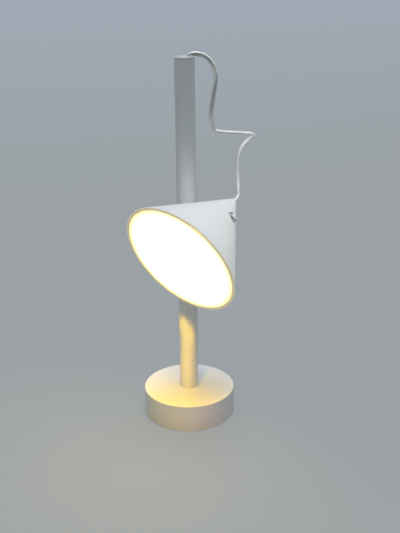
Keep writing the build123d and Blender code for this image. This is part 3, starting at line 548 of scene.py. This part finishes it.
def painted_lit_ring(name):
    """White painted ring beside the lit cover: its grey tone is painted shade, and its glow is painted
    lamplight.
    """
    material, tree, shader = new_material(name)
    slow = object_noise(tree, RING_DRIFT, GRAIN_DETAIL)
    tree.links.new(mixed(tree, slow, RING_SHADED_DARK_TONE, RING_SHADED_LIGHT_TONE), shader.inputs["Base Color"])
    tree.links.new(mixed(tree, slow, RING_PAINTED_LAMPLIGHT_DIM, RING_PAINTED_LAMPLIGHT), shader.inputs["Emission Color"])
    shader.inputs["Emission Strength"].default_value = RING_PAINTED_LAMPLIGHT_STRENGTH
    tree.links.new(spread(tree, slow, *RING_ROUGH), shader.inputs["Roughness"])
    return material


def floor_material():
    """The floor: mostly an even tone where it is seen, and matte for the light that it throws back."""
    material = bpy.data.materials.new("floor")
    material.use_nodes = True
    tree = material.node_tree
    tree.nodes.clear()
    path = tree.nodes.new("ShaderNodeLightPath").outputs
    seen = value_math(tree, "MAXIMUM", path["Is Camera Ray"], path["Is Glossy Ray"])
    seen = value_math(tree, "MAXIMUM", seen, path["Is Transmission Ray"])
    split = tree.nodes.new("ShaderNodeSeparateXYZ")
    tree.links.new(tree.nodes.new("ShaderNodeTexCoord").outputs["Object"], split.inputs["Vector"])
    rise = map_range(tree, split.outputs["Z"], 0.0, BACKDROP_RISE, 0.0, 1.0)
    matte = tree.nodes.new("ShaderNodeBsdfDiffuse")
    matte.inputs["Color"].default_value = (*FLOOR_MATTE, 1.0)
    even = tree.nodes.new("ShaderNodeEmission")
    tones = colour_ramp(tree, rise, [(0.0, FLOOR_TONE), (1.0, BACKDROP_TONE)])
    tree.links.new(tones, even.inputs["Color"])
    mix = tree.nodes.new("ShaderNodeMixShader")
    tree.links.new(value_math(tree, "MULTIPLY", seen, EVEN_SHARE), mix.inputs["Fac"])
    tree.links.new(matte.outputs["BSDF"], mix.inputs[1])
    tree.links.new(even.outputs["Emission"], mix.inputs[2])
    out = tree.nodes.new("ShaderNodeOutputMaterial")
    tree.links.new(mix.outputs["Shader"], out.inputs["Surface"])
    return material


def sweep_stage():
    """A pale floor that bends up into a backdrop."""
    profile = [(SWEEP_FRONT, 0.0), (SWEEP_BEND_START, 0.0)]
    for n in range(1, SWEEP_STEPS + 1):
        angle = pi / 2 * n / SWEEP_STEPS
        profile.append((SWEEP_BEND_START + SWEEP_BEND * sin(angle), SWEEP_BEND * (1 - cos(angle))))
    profile.append((SWEEP_BEND_START + SWEEP_BEND, SWEEP_TOP))
    places = []
    for y, z in profile:
        places += [(-SWEEP_HALF, y, z), (SWEEP_HALF, y, z)]
    faces = [(2 * n, 2 * n + 1, 2 * n + 3, 2 * n + 2) for n in range(len(profile) - 1)]
    mesh = bpy.data.meshes.new("floor")
    mesh.from_pydata(places, [], faces)
    mesh.polygons.foreach_set("use_smooth", [True] * len(mesh.polygons))
    mesh.materials.append(floor_material())
    floor = bpy.data.objects.new("floor", mesh)
    scene.collection.objects.link(floor)


def new_light(name, kind, place, power, colour):
    """A light that the camera doesn't see."""
    data = bpy.data.lights.new(name, kind)
    data.energy = power
    data.color = colour
    light = bpy.data.objects.new(name, data)
    light.location = place
    light.visible_camera = False
    scene.collection.objects.link(light)
    return light


def aim(light, way):
    """Turns a light so that it shines along a direction."""
    light.rotation_euler = way.to_track_quat("-Z", "Y").to_euler()


def keep_to(light, receivers):
    """Lets a light reach only these pieces."""
    reach = bpy.data.collections.new(light.name)
    for name in receivers:
        reach.objects.link(pieces[name])
    light.light_linking.receiver_collection = reach


def soft_light(name, place, target, width, power, colour):
    """A square soft light that looks at a place."""
    light = new_light(name, "AREA", place, power, colour)
    light.data.size = width
    aim(light, Vector(target) - Vector(place))


def head_spot():
    """The narrow light on the head."""
    light = new_light("head_spot", "SPOT", SPOT_PLACE, SPOT_POWER, SPOT_COLOUR)
    light.data.spot_size = SPOT_ANGLE
    light.data.spot_blend = SPOT_BLEND
    light.data.shadow_soft_size = SPOT_RADIUS
    aim(light, SPOT_TARGET - SPOT_PLACE)
    keep_to(light, SPOT_REACH)


def small_light(name, place, power, radius, colour, body):
    """A small round light that moves with a body."""
    light = new_light(name, "POINT", place, power, colour)
    light.data.shadow_soft_size = radius
    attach(light, body)
    return light


def lamp_lights():
    """The light of the lit cover: on all sides, close to the post, and forwards from its whole face."""
    lamp_place = CONE_POINT + HEAD_DIR * LAMP_LIGHT_LEVEL
    small_light("lamp_light", lamp_place, LAMP_LIGHT_POWER, LAMP_LIGHT_RADIUS, LAMP_COLOUR, "head")
    to_post = POST_LIGHT_TARGET - lamp_place
    to_post = (to_post - HEAD_DIR * to_post.dot(HEAD_DIR)).normalized()
    post_place = CONE_POINT + HEAD_DIR * POST_LIGHT_LEVEL + to_post * POST_LIGHT_REACH
    small_light("post_light", post_place, POST_LIGHT_POWER, POST_LIGHT_RADIUS, POST_LIGHT_COLOUR, "head")
    cover_place = CONE_POINT + HEAD_DIR * COVER_LIGHT_LEVEL
    cover_light = new_light("cover_light", "AREA", cover_place, COVER_LIGHT_POWER, LAMP_COLOUR)
    cover_light.data.shape = "DISK"
    cover_light.data.size = COVER_LIGHT_WIDTH
    aim(cover_light, HEAD_DIR)
    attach(cover_light, "head")


def sky_light():
    """Even light all round, weaker from the front."""
    world = bpy.data.worlds.new("world")
    scene.world = world
    world.use_nodes = True
    tree = world.node_tree
    sky = tree.nodes["Background"]
    sky.inputs["Color"].default_value = (*SKY_COLOUR, 1.0)
    split = tree.nodes.new("ShaderNodeSeparateXYZ")
    tree.links.new(tree.nodes.new("ShaderNodeTexCoord").outputs["Generated"], split.inputs["Vector"])
    level = map_range(tree, split.outputs["Y"], -1.0, 1.0, SKY_FRONT, SKY_BACK)
    tree.links.new(level, sky.inputs["Strength"])


# Camera and flex
place_camera()
flex_upper, upper_line = flat_flex("flex_upper", UPPER_ROUTE, UPPER_FACINGS)
flex_lower, lower_line = flat_flex("flex_lower", LOWER_ROUTE, LOWER_FACINGS)
for piece in (flex_upper, flex_lower):
    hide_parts("flex_cord")
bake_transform(flex_upper)
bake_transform(flex_lower)
pieces = dict(nodes, flex_upper=flex_upper, flex_lower=flex_lower)

# Materials
materials = {name: coated(name, *values) for name, values in COATS.items()}
materials.update((name, metal(name, *values)) for name, values in METALS.items())
materials["opal"] = opal("opal")
# The ring's grey tone is painted shade, and its glow is painted lamplight from the cover
materials["ring_painted_light_and_shade"] = painted_lit_ring("ring_painted_light_and_shade")
for look, names in LOOKS.items():
    for name in names:
        slots = nodes[name].data.materials
        slots.clear()
        slots.append(materials[look])
# The flex's grey tone is painted shade on a white flex
for piece in (flex_upper, flex_lower):
    piece.data.materials.append(materials["flex_shaded_white"])

# Stage and light
sweep_stage()
for name, values in SOFT_LIGHTS.items():
    soft_light(name, *values)
head_spot()
for name, (place, power, radius, colour, receivers, body) in FILL_LIGHTS.items():
    keep_to(small_light(name, place, power, radius, colour, body), receivers)
lamp_lights()
sky_light()
